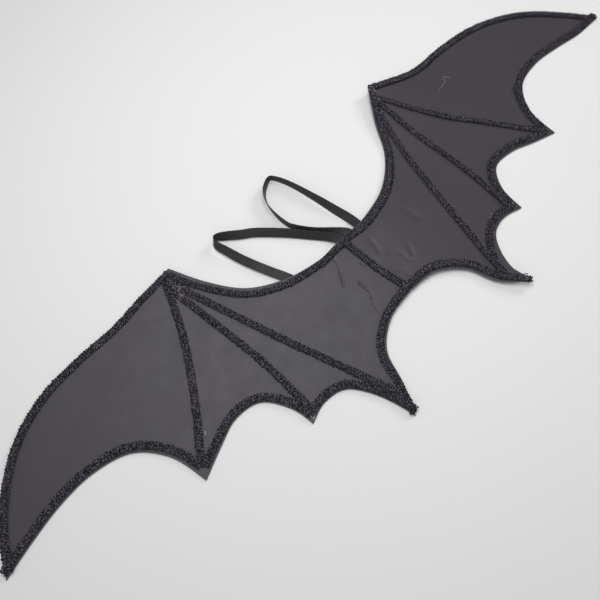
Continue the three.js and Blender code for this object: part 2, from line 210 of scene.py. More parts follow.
# Braid along the edge, each piece with the stretches that it follows, the part of them that it covers, and
# the foam that shows beyond it in rows of [share of the stretch, margin as a share of the braid's width].
EDGE_BRAIDS = [
    {"node": "top_braid", "stretches": [("left", "top", True), ("right", "top", False)], "inward": -1,
     "from": 0.012, "to": 0.988,
     "margins": [[0, 0.3], [0.06, 0.42], [0.25, 0.35], [0.4, 0.08], [1, 0.05]]},
    {"node": "centre_scallop_braid", "stretches": [("left", "centre", False), ("right", "centre", True)],
     "inward": 1, "from": 0.012, "to": 0.988,
     "margins": [[0, -0.42], [0.08, -0.08], [0.25, 0.22], [0.5, 0.12], [0.62, 0.22], [0.85, 0.22],
                 [0.93, 0.1], [1, -0.42]]},
    {"node": "leading_braid_left", "stretches": [("left", "leading", False)], "inward": 1,
     "from": 0.012, "to": 0.985, "margins": [[0, 0.03], [0.12, -0.06], [0.4, 0], [1, 0]]},
    {"node": "outer_scallop_braid_left", "stretches": [("left", "outer", False)], "inward": 1,
     "from": 0.02, "to": 0.945, "margins": [[0, 0.05], [0.5, 0.12], [1, 0.3]]},
    {"node": "middle_scallop_braid_left", "stretches": [("left", "middle", False)], "inward": 1,
     "from": 0.08, "to": 0.95, "margins": [[0, 0.25], [0.5, 0.06], [1, 0.12]]},
    {"node": "inner_scallop_braid_left", "stretches": [("left", "inner", False)], "inward": 1,
     "from": 0.09, "to": 0.97, "margins": [[0, 0.12], [0.5, 0.03], [1, 0]]},
    {"node": "leading_braid_right", "stretches": [("right", "leading", False)], "inward": -1,
     "from": 0, "to": 0.985, "margins": [[0, 0.05], [0.5, 0], [0.8, -0.06], [1, 0]]},
    {"node": "tip_braid_right", "stretches": [("right", "outer", False)], "inward": -1,
     "from": 0.02, "to": 0.7, "margins": [[0, 0.05], [0.5, 0.1], [1, 0.06]]},
    {"node": "outer_scallop_braid_right", "stretches": [("right", "outer", False)], "inward": -1,
     "from": 0.68, "to": 0.95, "margins": [[0.68, 0.3], [0.8, 0.12], [1, 0.15]]},
    {"node": "middle_scallop_braid_right", "stretches": [("right", "middle", False)], "inward": -1,
     "from": 0.07, "to": 0.95, "margins": [[0, 0.2], [0.5, 0.25], [1, 0.25]]},
    {"node": "inner_scallop_braid_right", "stretches": [("right", "inner", False)], "inward": -1,
     "from": 0.08, "to": 0.7, "margins": [[0, 0.2], [0.3, 0.26], [0.5, 0.45], [0.7, 0.8]]},
]

# How wide a braid lies where it isn't at its full width: rows of [share of its length, share of the width].
WIDTHS = {
    "top_braid": [[0, 0.85], [0.2, 0.88], [0.5, 0.98], [0.56, 1.22], [0.68, 1.22], [0.8, 1], [1, 0.9]],
    "leading_braid_left": [[0, 0.8], [0.12, 0.92], [0.5, 1], [1, 1]],
    "leading_braid_right": [[0, 0.95], [0.1, 1.08], [0.4, 1.05], [1, 1]],
    "rib_braid_left_1": [[0, 0.92], [1, 0.95]],
    "rib_braid_left_2": [[0, 0.92], [1, 0.95]],
    "rib_braid_left_3": [[0, 0.92], [1, 0.95]],
    "rib_braid_right_1": [[0, 0.72], [0.5, 0.8], [1, 0.88]],
    "rib_braid_right_2": [[0, 0.74], [0.5, 0.82], [1, 0.9]],
    "rib_braid_right_3": [[0, 0.8], [0.5, 0.88], [1, 0.9]],
    "centre_braid": [[0, 1.02], [1, 1.05]],
}
FULL_WIDTH = [[0, 1], [1, 1]]

# Ribs and the strip down the middle, in rows of [x, y] as in the outline.
RIB_BRAIDS = {
    "rib_braid_left_1": [[-0.383, 0.327], [-0.438, 0.138], [-0.511, -0.046], [-0.59, -0.215]],
    "rib_braid_left_2": [[-0.384, 0.284], [-0.368, 0.079], [-0.355, -0.134], [-0.354, -0.34]],
    "rib_braid_left_3": [[-0.374, 0.304], [-0.326, 0.069], [-0.286, -0.124], [-0.245, -0.306],
                         [-0.199, -0.515]],
    "rib_braid_right_1": [[0.339, 0.317], [0.415, 0.115], [0.489, -0.051], [0.568, -0.229]],
    "rib_braid_right_2": [[0.33, 0.312], [0.336, 0.074], [0.341, -0.123], [0.336, -0.34]],
    "rib_braid_right_3": [[0.309, 0.268], [0.264, 0.043], [0.234, -0.126], [0.209, -0.295],
                          [0.182, -0.504]],
    "centre_braid": [[-0.022, -0.02], [-0.019, -0.159], [-0.004, -0.293]],
}

# The plait: three strands of two plied yarns, with their ends a little uneven and their courses astray.
STRANDS = 3
YARNS_IN_STRAND = 2
YARN_SIDES = 6
YARN_STEP = 0.48 * MM
YARN_FLATNESS = 0.85
# The share of painted glint on the weaker yarn of each pair.
WEAK_GLINT_YARN = 0.7
PLY_TURN = 4.6 * MM
PLY_RELIEF = 0.16
# Painted shade darkening the grooves between the plies, and how quickly the painted shade low down near the
# foam lifts towards the braid's top.
PLY_SHADE = 0.3
LOW_SHADE_GAIN = 1.25
LOBE = 0.2
END_TAPER = 3 * MM
END_NARROWING = 0.08
FRAY = 1.6 * MM
STRAY = 0.3 * MM
STRAY_STEP = 1.6 * MM
STRAY_RISE = 0.4
# Where a braid crosses one that was laid before it, it rides up by this share of its height. The ramp starts
# this many widths away and is this many widths long.
RIDE_HEIGHT = 0.6
RIDE_START = 1.1
RIDE_LENGTH = 0.7
# The braid's crown, for what lies on it: its height as a share of the braid's, and how square it is.
CROWN_HEIGHT = 0.9
CROWN_SQUARENESS = 4

# The arm loops in rows of [x, y, lift, roll]: x and y as shares of the loops' reach, the lift of the strap's
# middle as a share of its width, and its roll about its length in degrees. The first and last rows lie flat
# under the sheet, so they have no lift of their own.
LEFT_LOOP = [
    [-0.081, 0, 0, 180],
    [-0.145, 0.1, 0.54, 150],
    [-0.286, 0.276, 0.5, 138],
    [-0.43, 0.457, 0.46, 148],
    [-0.63, 0.667, 0.42, 152],
    [-0.762, 0.766, 0.43, 150],
    [-0.87, 0.85, 0.5, 140],
    [-0.96, 0.905, 0.62, 115],
    [-1.005, 0.895, 0.72, 85],
    [-1.02, 0.83, 0.72, 52],
    [-0.99, 0.715, 0.66, 36],
    [-0.952, 0.571, 0.6, 27],
    [-0.895, 0.41, 0.53, 24],
    [-0.819, 0.238, 0.35, 14],
    [-0.745, 0.08, 0, 0],
]
RIGHT_LOOP = [
    [0.165, 0, 0, 180],
    [0.155, 0.126, 0.36, 152],
    [0.121, 0.277, 0.48, 134],
    [0.092, 0.431, 0.57, 118],
    [0.064, 0.563, 0.6, 109],
    [0.038, 0.685, 0.61, 102],
    [0.006, 0.808, 0.62, 97],
    [-0.036, 0.925, 0.62, 93],
    [-0.077, 0.998, 0.62, 90],
    [-0.105, 1.015, 0.62, 95],
    [-0.162, 1.0, 0.62, 105],
    [-0.258, 0.935, 0.62, 106],
    [-0.328, 0.82, 0.62, 101],
    [-0.356, 0.68, 0.62, 93],
    [-0.356, 0.56, 0.62, 86],
    [-0.335, 0.46, 0.61, 84],
    [-0.227, 0.28, 0.58, 66],
    [-0.074, 0.116, 0.46, 42],
    [0.026, 0, 0, 0],
]
# The part of each loop's length after which the elastic has faded.
LOOPS = [
    {"name": "elastic_loop_left", "node": "strap_left", "rows": LEFT_LOOP, "faded_from": 0.77},
    {"name": "elastic_loop_right", "node": "strap_right", "rows": RIGHT_LOOP, "faded_from": 1},
]
FADE_SHARE = 0.05
FADED_COLOUR = (0.05, 0.045, 0.05)
LOOP_REACH = 105 * MM
GLUE_LENGTH = 13 * MM
GLUE_GAP = 0.35 * MM
GLUED_SHARES = (0, 0.5, 1)
STRAP_STEP = 0.9 * MM
STRAP_CURVE_STEPS = 64
# The elastic's section: cords side by side, how far they stand out, and how square its edges are.
CORDS = 9
POINTS_IN_CORD = 3
CORD_BASE = 0.86
CORD_RELIEF = 0.12
EDGE_SQUARENESS = 8

# Grain of the materials, in features to a metre, and their lighter, darker and tinted tones as multiples of
# their colour.
FOAM_PATCHES, FOAM_SPECKLE, FOAM_SHINE = 12.0, 700.0, 60.0
FOAM_WARM, FOAM_COOL, FOAM_PALE = (1.03, 0.99, 1.02), (0.97, 1.0, 0.98), 1.7
# The yarn's light tone and its flecks are painted glints; its dark tone stands for the yarn's own black and
# the painted shade in the grooves.
YARN_GLINT_FLECKS, YARN_DARK, YARN_GLINT = 820.0, 0.35, 17
# The loose yarn's tone is greyer from dried glue; its light streaks are painted glint.
LOOSE_GLINT_STREAKS, LOOSE_DARK = 700.0, 2
ELASTIC_PATCHES, ELASTIC_DARK, ELASTIC_LIGHT, ELASTIC_STITCH = 90.0, 0.85, 1.25, 1.8
GLUE_CLOUDS, GLUE_DARK, GLUE_PALE = 900.0, (0.22, 0.21, 0.23), (0.5, 0.49, 0.51)
# Fine relief, one layer on another: features to a metre, how rough they are, their depth and strength.
FOAM_RELIEF = [
    {"scale": 1800.0, "detail": 2.0, "depth": 0.12 * MM, "strength": 0.55},
    {"scale": 220.0, "detail": 4.0, "depth": 0.35 * MM, "strength": 0.35},
    {"scale": 30.0, "detail": 2.0, "depth": 1.2 * MM, "strength": 0.16},
]
FIBRES = {"scale": 1500.0, "detail": 2.0, "depth": 0.12 * MM, "strength": 0.6}
YARN_RELIEF = [{"scale": 4000.0, "detail": 2.0, "depth": 0.08 * MM, "strength": 0.5}, FIBRES]
ELASTIC_RELIEF = [{"scale": 3500.0, "detail": 2.0, "depth": 0.06 * MM, "strength": 0.5}]
GLUE_RELIEF = [{"scale": 2500.0, "detail": 3.0, "depth": 0.05 * MM, "strength": 0.5}]
STITCH_DEPTH = 0.1 * MM
STITCH_STRENGTH = 0.6

# Half the distance over which a line's direction is measured, and the least length that is divided by.
DIRECTION_REACH = 0.5 * MM
TINY = 1e-9

panel_low, panel_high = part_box("panel")
HALF_SPAN = (panel_high.x - panel_low.x) / 2
DEPTH = (panel_high.y - panel_low.y) / (PEAK_Y - FOOT_Y)
TOP_EDGE_Y = panel_high.y - PEAK_Y * DEPTH


class FoamSettings(bpy.types.PropertyGroup):
    thickness: FloatProperty(
        name="Thickness", description="Thickness of the foam sheet", default=2 * MM, unit="LENGTH"
    )
    curl: FloatProperty(
        name="Curl", description="How far the sheet rises where it curls most", default=9 * MM, unit="LENGTH"
    )
    colour: FloatVectorProperty(
        name="Foam", description="Colour of the foam", default=(0.052, 0.047, 0.057), subtype="COLOR"
    )
    # The cut edge's colour is a painted highlight where the rounded edge catches the light.
    edge_highlight_colour: FloatVectorProperty(
        name="Cut edge", description="Colour of the cut edge", default=(0.13, 0.125, 0.135), subtype="COLOR"
    )


class BraidSettings(bpy.types.PropertyGroup):
    width: FloatProperty(
        name="Width", description="Width of the braid", default=9 * MM, unit="LENGTH"
    )
    height: FloatProperty(
        name="Height", description="Height of the braid", default=2.4 * MM, unit="LENGTH"
    )
    pitch: FloatProperty(
        name="Pitch", description="Distance from one lobe of the braid's edge to the next", default=3 * MM,
        unit="LENGTH",
    )
    yarn: FloatProperty(
        name="Yarn", description="Diameter of one yarn", default=1.2 * MM, unit="LENGTH"
    )
    colour: FloatVectorProperty(
        name="Braid", description="Colour of the yarn", default=(0.012, 0.0105, 0.014), subtype="COLOR"
    )


class LoopSettings(bpy.types.PropertyGroup):
    width: FloatProperty(
        name="Width", description="Width of the elastic", default=10 * MM, unit="LENGTH"
    )
    thickness: FloatProperty(
        name="Thickness", description="Thickness of the elastic", default=1 * MM, unit="LENGTH"
    )
    colour: FloatVectorProperty(
        name="Elastic", description="Colour of the elastic", default=(0.0225, 0.0215, 0.0238), subtype="COLOR"
    )


class StageSettings(bpy.types.PropertyGroup):
    floor_colour: FloatVectorProperty(
        name="Floor", description="Colour of the floor", default=(0.862, 0.857, 0.857), subtype="COLOR"
    )
    light: FloatProperty(
        name="Light", description="Power of the large soft light overhead", default=3.9, unit="POWER"
    )
    side_light: FloatProperty(
        name="Side light", description="Power of the light from the right", default=11.5, unit="POWER"
    )
    fill: FloatProperty(
        name="Fill", description="Strength of the light from all round", default=0.325, min=0
    )


def smooth_line(rows, scale=1, steps=48):
    """Points along a smooth curve through the rows, close enough together to measure along."""
    points = np.array(rows, float) * scale
    padded = np.vstack([points[:1], points, points[-1:]])
    t = np.linspace(0, 1, steps, endpoint=False)[:, None]
    parts = []
    for a, b, c, d in zip(padded, padded[1:], padded[2:], padded[3:]):
        speed_in, speed_out = (c - a) / 2, (d - b) / 2
        parts.append(
            (2 * b - 2 * c + speed_in + speed_out) * t**3
            + (-3 * b + 3 * c - 2 * speed_in - speed_out) * t**2
            + speed_in * t
            + b
        )
    return np.vstack([*parts, points[-1:]])


def travelled(points):
    """Distance along a line of points, from its start."""
    return np.concatenate([[0], np.cumsum(np.linalg.norm(np.diff(points, axis=0), axis=1))])


def sampled(points, along, distances):
    """Points at distances on a line, whose own points lie at the distances along."""
    return np.stack([np.interp(distances, along, column) for column in points.T], axis=1)


def resample(points, distances):
    """Points and directions at distances along a line."""
    along = travelled(points)
    ahead = sampled(points, along, distances + DIRECTION_REACH)
    directions = ahead - sampled(points, along, distances - DIRECTION_REACH)
    return sampled(points, along, distances), directions / np.linalg.norm(directions, axis=1)[:, None]


def stretch(side, name):
    """One stretch of the outline as a line in metres, from the middle of the top edge."""
    return smooth_line({"left": LEFT, "right": RIGHT}[side][name], (HALF_SPAN, DEPTH))


def lift(x, y):
    """Height of the sheet's underside, at places measured from the middle of the top edge."""
    height = np.zeros(np.shape(x))
    for swell in SWELLS:
        across = (x - swell["x"] * HALF_SPAN) / (swell["reach_x"] * HALF_SPAN)
        along = (y - swell["y"] * DEPTH) / (swell["reach_y"] * DEPTH)
        inside = np.clip(1 - across**2 - along**2, 0, None)
        height = height + swell["rise"] * bpy.context.scene.bat_foam.curl * inside**3
    return height + ripple(x, y)


def ripple(x, y):
    """How much the sheet's face waves up, at places measured from the middle of the top edge."""
    waves = [np.sin(wave["x"] * x + wave["y"] * y + wave["start"]) for wave in RIPPLE_WAVES]
    return RIPPLE * sum(waves, len(waves)) / (2 * len(waves))


def pressed(places):
    """Depth of the creases and dents at places on the sheet's face."""
    depth = np.zeros(places.shape[:-1])
    for dent in DENTS:
        middle = np.array([dent["x"] * HALF_SPAN, dent["y"] * DEPTH])
        away = np.linalg.norm(places - middle, axis=-1) / dent["reach"]
        depth = depth + dent["depth"] * np.exp(-(away**2))
    for crease in CREASES:
        line = smooth_line(crease["rows"], (HALF_SPAN, DEPTH), CREASE_STEPS)
        gap, share = distance_to(line, places)
        deepest = crease["start"] + (crease["end"] - crease["start"]) * share
        depth = depth + deepest * np.exp(-((gap / crease["reach"]) ** 2))
    return depth


def make_mesh(name, vertices, faces, material, attributes=None, uv=None):
    """A smooth-shaded object whose vertices are measured from the middle of the top edge."""
    placed = np.array(vertices, float) + (0, TOP_EDGE_Y, 0)
    mesh = bpy.data.meshes.new(name)
    mesh.from_pydata(placed.tolist(), [], [tuple(face) for face in faces])
    mesh.update()
    mesh.polygons.foreach_set("use_smooth", np.ones(len(mesh.polygons), bool))
    for label, values in (attributes or {}).items():
        layer = mesh.attributes.new(label, "FLOAT", "POINT")
        layer.data.foreach_set("value", np.asarray(values, np.float32))
    if uv is not None:
        layer = mesh.uv_layers.new(name="along")
        corners = np.zeros(len(mesh.loops), int)
        mesh.loops.foreach_get("vertex_index", corners)
        layer.data.foreach_set("uv", np.asarray(uv, np.float32)[corners].ravel())
    made = bpy.data.objects.new(name, mesh)
    made.data.materials.append(material)
    bpy.context.scene.collection.objects.link(made)
    return made


def finish_piece(piece, slot, *nodes):
    """Hands a piece to the frame: its body and the solids that it stands for; the slot is not used."""
    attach(piece, BODY)
    if nodes:
        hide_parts(*nodes)


class Nodes:
    """Builds the nodes of one material or of the world."""

    def __init__(self, tree):
        self.tree = tree

    def node(self, kind, **values):
        made = self.tree.nodes.new(kind)
        for key, value in values.items():
            if key in made.inputs:
                self.feed(made.inputs[key], value)
            else:
                setattr(made, key, value)
        return made

    def feed(self, socket, value):
        if isinstance(value, bpy.types.NodeSocket):
            self.tree.links.new(value, socket)
        else:
            socket.default_value = value

    def ramp(self, value, low, high, start=0.0, end=1.0):
        made = self.node("ShaderNodeMapRange")
        for socket, given in zip(made.inputs, (value, low, high, start, end)):
            self.feed(socket, given)
        return made.outputs[0]


class Shader(Nodes):
    """Builds one material."""

    def __init__(self, name):
        self.material = bpy.data.materials.new(name)
        self.material.use_nodes = True
        super().__init__(self.material.node_tree)
        self.surface = self.tree.nodes["Principled BSDF"]

    def noise(self, scale, detail=3.0):
        place = self.node("ShaderNodeTexCoord").outputs["Object"]
        return self.node("ShaderNodeTexNoise", Scale=scale, Detail=detail, Vector=place).outputs["Fac"]

    def mix(self, factor, first, second):
        made = self.node("ShaderNodeMix", data_type="RGBA")
        colours = [socket for socket in made.inputs if socket.type == "RGBA"]
        self.feed(made.inputs[0], factor)
        for socket, value in zip(colours, (first, second)):
            self.feed(socket, value if isinstance(value, bpy.types.NodeSocket) else (*value, 1))
        return [socket for socket in made.outputs if socket.type == "RGBA"][0]

    def attribute(self, name):
        return self.node("ShaderNodeAttribute", attribute_name=name).outputs["Fac"]

    def bump(self, height, distance, strength, under=None):
        made = self.node("ShaderNodeBump", Distance=distance, Strength=strength, Height=height)
        if under is not None:
            self.feed(made.inputs["Normal"], under)
        return made.outputs["Normal"]

    def relief(self, layers):
        normal = None
        for layer in layers:
            height = self.noise(layer["scale"], layer["detail"])
            normal = self.bump(height, layer["depth"], layer["strength"], normal)
        return normal

    def set(self, **values):
        for key, value in values.items():
            self.feed(self.surface.inputs[key.replace("_", " ")], value)
        return self.material


def tone(colour, factor):
    """A colour made lighter, darker or tinted by a factor."""
    return (np.array(colour) * factor).tolist()


def foam_material(settings):
    """Charcoal craft foam: fine pebbled skin, faint cloudy patches and a painted highlight along the cut
    edges.
    """
    shader = Shader("charcoal_foam")
    patches = shader.ramp(shader.noise(FOAM_PATCHES), low=0.2, high=0.8)
    clouds = shader.mix(patches, tone(settings.colour, FOAM_COOL), tone(settings.colour, FOAM_WARM))
    speckle = shader.ramp(shader.noise(FOAM_SPECKLE), low=0.3, high=0.7, end=0.16)
    speckled = shader.mix(speckle, clouds, tone(settings.colour, FOAM_PALE))
    # Painted highlight where the rounded cut edge catches the light.
    edged = shader.mix(shader.attribute("edge_highlight"), speckled, tuple(settings.edge_highlight_colour))
    rough = shader.ramp(shader.noise(FOAM_SHINE), low=0.3, high=0.7, start=0.46, end=0.54)
    return shader.set(
        Base_Color=edged, Roughness=rough, Normal=shader.relief(FOAM_RELIEF), Specular_IOR_Level=0.45,
        Sheen_Weight=0.05, Sheen_Roughness=0.4,
    )


def braid_material(settings):
    """Black gimp yarn: flecks of painted glint, weaker on one yarn of each pair, and painted shade in the
    grooves between the plies and low down near the foam.
    """
    shader = Shader("black_gimp_yarn")
    # Flecks of painted glint, kept to the ply ridges and the braid's top by the painted light mask.
    patches = shader.ramp(shader.noise(YARN_GLINT_FLECKS, detail=1.0), low=0.49, high=0.6)
    lit = shader.node("ShaderNodeMath", operation="MULTIPLY")
    shader.feed(lit.inputs[0], patches)
    shader.feed(lit.inputs[1], shader.attribute("painted_light_mask"))
    shaded = shader.mix(lit.outputs[0], tone(settings.colour, YARN_DARK), tone(settings.colour, YARN_GLINT))
    return shader.set(
        Base_Color=shaded, Roughness=0.42, Normal=shader.relief(YARN_RELIEF), Specular_IOR_Level=0.3,
        Sheen_Weight=0.05, Sheen_Roughness=0.35,
    )


def loose_yarn_material(settings):
    """Yarn stiffened with dried glue: greyer and glossier than the braid, with streaks of painted glint."""
    shader = Shader("stiff_gimp_yarn")
    # Streaks of painted glint on the glue-stiffened yarn.
    glint_streaks = shader.ramp(shader.noise(LOOSE_GLINT_STREAKS, detail=1.0), low=0.4, high=0.6)
    shaded = shader.mix(glint_streaks, tone(settings.colour, LOOSE_DARK), tone(settings.colour, YARN_GLINT))
    return shader.set(
        Base_Color=shaded, Roughness=0.3, Normal=shader.relief([FIBRES]), Specular_IOR_Level=0.5
    )


def glue_material():
    """Dried glue: pale, glossy and slightly cloudy."""
    shader = Shader("dried_glue")
    cloudy = shader.mix(shader.noise(GLUE_CLOUDS), GLUE_DARK, GLUE_PALE)
    return shader.set(
        Base_Color=cloudy, Roughness=0.28, Normal=shader.relief(GLUE_RELIEF), Specular_IOR_Level=0.5
    )


def elastic_material(settings):
    """Flat knitted elastic: fine cords along it, with close stitches across."""
    shader = Shader("black_knitted_elastic")
    along = shader.node("ShaderNodeUVMap", uv_map="along").outputs["UV"]
    knit = shader.node(
        "ShaderNodeTexWave", bands_direction="X", Scale=2.2, Distortion=0.8, Detail=1.0, Vector=along
    ).outputs["Fac"]
    patches = shader.noise(ELASTIC_PATCHES)
    tint = shader.mix(patches, tone(settings.colour, ELASTIC_DARK), tone(settings.colour, ELASTIC_LIGHT))
    stitched = shader.ramp(knit, low=0.0, high=1.0, end=0.35)
    shaded = shader.mix(stitched, tint, tone(settings.colour, ELASTIC_STITCH))
    faded = shader.mix(shader.attribute("faded"), shaded, FADED_COLOUR)
    stitches = shader.bump(knit, STITCH_DEPTH, STITCH_STRENGTH, shader.relief(ELASTIC_RELIEF))
    return shader.set(
        Base_Color=faded, Roughness=0.5, Normal=stitches, Specular_IOR_Level=0.28, Sheen_Weight=0.05,
        Sheen_Roughness=0.4,
    )


def wing_columns(outline_side):
    """Places of the sheet's upper and lower edge, column by column from the middle to a wing's tip."""
    upper, lower = [], []
    for field in FIELDS:
        over, under = stretch(outline_side, field["upper"]), stretch(outline_side, field["lower"])
        share = np.arange(1 if upper else 0, field["columns"] + 1) / field["columns"]
        reach = field["from"] + (field["to"] - field["from"]) * share
        upper.append(resample(over, reach * travelled(over)[-1])[0])
        lower.append(resample(under, (1 - share) * travelled(under)[-1])[0])
    return np.vstack(upper), np.vstack(lower)


def sheet_grid(upper, lower, rows, rounding):
    """Places across the sheet in rows, with extra rows close to both edges, and their distance inwards."""
    near = np.array(EDGE_ROWS) * rounding
    length = np.linalg.norm(lower - upper, axis=1)[:, None]
    close = np.minimum(near[None, :], length * np.linspace(0, EDGE_REACH, len(near))[None, :])
    shares = np.linspace(0, 1, rows + 2)[1:-1][None, :]
    middle = close[:, -1:] + (length - 2 * close[:, -1:]) * shares
    inwards = np.hstack([close, middle, length - close[:, ::-1]])
    share = inwards / np.maximum(length, TINY)
    places = upper[:, None, :] + (lower - upper)[:, None, :] * share[:, :, None]
    return places, np.minimum(inwards, length - inwards)


def distance_to(line, places):
    """Distance from each place to a line of points, with the share of the line's length at its nearest."""
    starts, steps = line[:-1], np.diff(line, axis=0)
    shares = travelled(line) / travelled(line)[-1]
    best, at = np.full(places.shape[:-1], np.inf), np.zeros(places.shape[:-1])
    for start, step, low, high in zip(starts, steps, shares, shares[1:]):
        t = np.clip(((places - start) @ step) / (step @ step), 0, 1)
        gap = np.linalg.norm(places - start - t[..., None] * step, axis=-1)
        closer = gap < best
        best, at = np.where(closer, gap, best), np.where(closer, low + t * (high - low), at)
    return best, at


def grid_faces(columns, rows, flip=False):
    """Faces between the points of a grid."""
    corner = np.arange(columns * rows).reshape(columns, rows)
    faces = np.stack([corner[:-1, :-1], corner[:-1, 1:], corner[1:, 1:], corner[1:, :-1]], axis=-1)
    faces = faces.reshape(-1, 4)
    return faces[:, ::-1] if flip else faces


class WINGS_OT_sheet(bpy.types.Operator):
    """Makes the foam sheet of both wings"""

    bl_idname = "bat_wings.sheet"
    bl_label = "Foam sheet"

    def execute(self, context):
        settings = context.scene.bat_foam
        halves = [wing_columns("left"), wing_columns("right")]
        upper = np.vstack([halves[0][0][::-1], halves[1][0][1:]])
        lower = np.vstack([halves[0][1][::-1], halves[1][1][1:]])
        rounding = EDGE_ROUNDING * settings.thickness
        over, inwards = sheet_grid(upper, lower, ROWS_OVER, rounding)
        under, inwards_under = sheet_grid(upper, lower, ROWS_UNDER, rounding)
        drop = rounding - np.sqrt(np.clip(rounding**2 - np.clip(rounding - inwards, 0, None) ** 2, 0, None))
        over_z = lift(over[..., 0], over[..., 1]) + settings.thickness - drop - pressed(over)
        under_z = lift(under[..., 0], under[..., 1])
        top = np.dstack([over, over_z]).reshape(-1, 3)
        bottom = np.dstack([under, under_z]).reshape(-1, 3)
        columns, rows_over, rows_under = len(upper), over.shape[1], under.shape[1]
        faces = [grid_faces(columns, rows_over), grid_faces(columns, rows_under, flip=True) + len(top)]
        for row_over, row_under in ((0, 0), (rows_over - 1, rows_under - 1)):
            high = np.arange(columns) * rows_over + row_over
            low = np.arange(columns) * rows_under + row_under + len(top)
            wall = np.stack([high[:-1], high[1:], low[1:], low[:-1]], axis=-1)
            faces.append(wall if row_over == 0 else wall[:, ::-1])
        vertices = np.vstack([top, bottom])
        # Where the edge rounds off: the mask for the painted highlight on the cut edge.
        edge_highlight = [np.clip(1 - edge.ravel() / rounding, 0, 1) for edge in (inwards, inwards_under)]
        attributes = {"edge_highlight": np.concatenate(edge_highlight)}
        piece = make_mesh(
            "foam_sheet", vertices, np.vstack(faces).tolist(), foam_material(settings), attributes
        )
        finish_piece(piece, "foam", "panel")
        return {"FINISHED"}


def across_line(directions):
    """Directions to the left of a line, in plan."""
    return np.stack([-directions[:, 1], directions[:, 0]], axis=1)


def width_shares(node, shares):
    """How wide a braid lies, at shares of its length."""
    rows = np.array(WIDTHS.get(node, FULL_WIDTH))
    return np.interp(shares, rows[:, 0], rows[:, 1])


def edge_line(braid, width):
    """The middle line of a braid that follows the edge."""
    parts = []
    for side, name, backwards in braid["stretches"]:
        line = stretch(side, name)
        parts.append(line[::-1] if backwards else line)
    line = parts[0] if len(parts) == 1 else np.vstack([parts[0], parts[1][1:]])
    total = travelled(line)[-1]
    count = int((braid["to"] - braid["from"]) * total / MM)
    share = np.linspace(braid["from"], braid["to"], count)
    places, directions = resample(line, share * total)
    margins = np.array(braid["margins"])
    half = 0.5 * width_shares(braid["node"], np.linspace(0, 1, count))
    inset = braid["inward"] * width * (half + np.interp(share, margins[:, 0], margins[:, 1]))
    return places + across_line(directions) * inset[:, None]


def tube_faces(rings, sides):
    """Faces of a closed tube, with a fan over each end."""
    corner = np.arange(rings * sides).reshape(rings, sides)
    turned = np.roll(corner, -1, axis=1)
    walls = np.stack([corner[:-1], corner[1:], turned[1:], turned[:-1]], axis=-1).reshape(-1, 4).tolist()
    return walls + [corner[0].tolist(), corner[-1][::-1].tolist()]


def joined(parts):
    """One list of vertices and one of faces, from several of each."""
    vertices, faces = [], []
    base = 0
    for corners, part_faces in parts:
        vertices.append(corners.reshape(-1, 3))
        faces += [[index + base for index in face] for face in part_faces]
        base += len(vertices[-1])
    return np.vstack(vertices), faces


def directions_along(path):
    """Directions ahead, to the left and up, all along a line of points."""
    ahead = np.gradient(path, axis=0)
    ahead /= np.linalg.norm(ahead, axis=1)[:, None]
    side = np.column_stack([-ahead[:, 1], ahead[:, 0], np.zeros(len(path))])
    side /= np.maximum(np.linalg.norm(side, axis=1), TINY)[:, None]
    return ahead, side, np.cross(ahead, side)


def tube(path, radius, flatness, twist=0.0):
    """Rings of corners round a path, with the two plies of the yarn turning along it, and a painted shade
    that darkens the grooves between the plies.
    """
    _, side, up = directions_along(path)
    angle = np.arange(YARN_SIDES)[None, :] / YARN_SIDES * TURN
    ply = np.cos(2 * angle - travelled(path)[:, None] / PLY_TURN * TURN)
    grown = radius * (1 + twist * ply)
    rings = (
        path[:, None, :]
        + (grown * np.cos(angle))[..., None] * side[:, None, :]
        + (grown * flatness * np.sin(angle))[..., None] * up[:, None, :]
    )
    # Painted shade: full light on the plies' ridges, darker in the grooves between them.
    return rings, 1 - PLY_SHADE + PLY_SHADE * ply


def extended(line, reach):
    """A line with both ends carried on straight."""
    first, last = line[0] - line[1], line[-1] - line[-2]
    before = line[0] + first / np.linalg.norm(first) * reach
    after = line[-1] + last / np.linalg.norm(last) * reach
    return np.vstack([before, line, after])


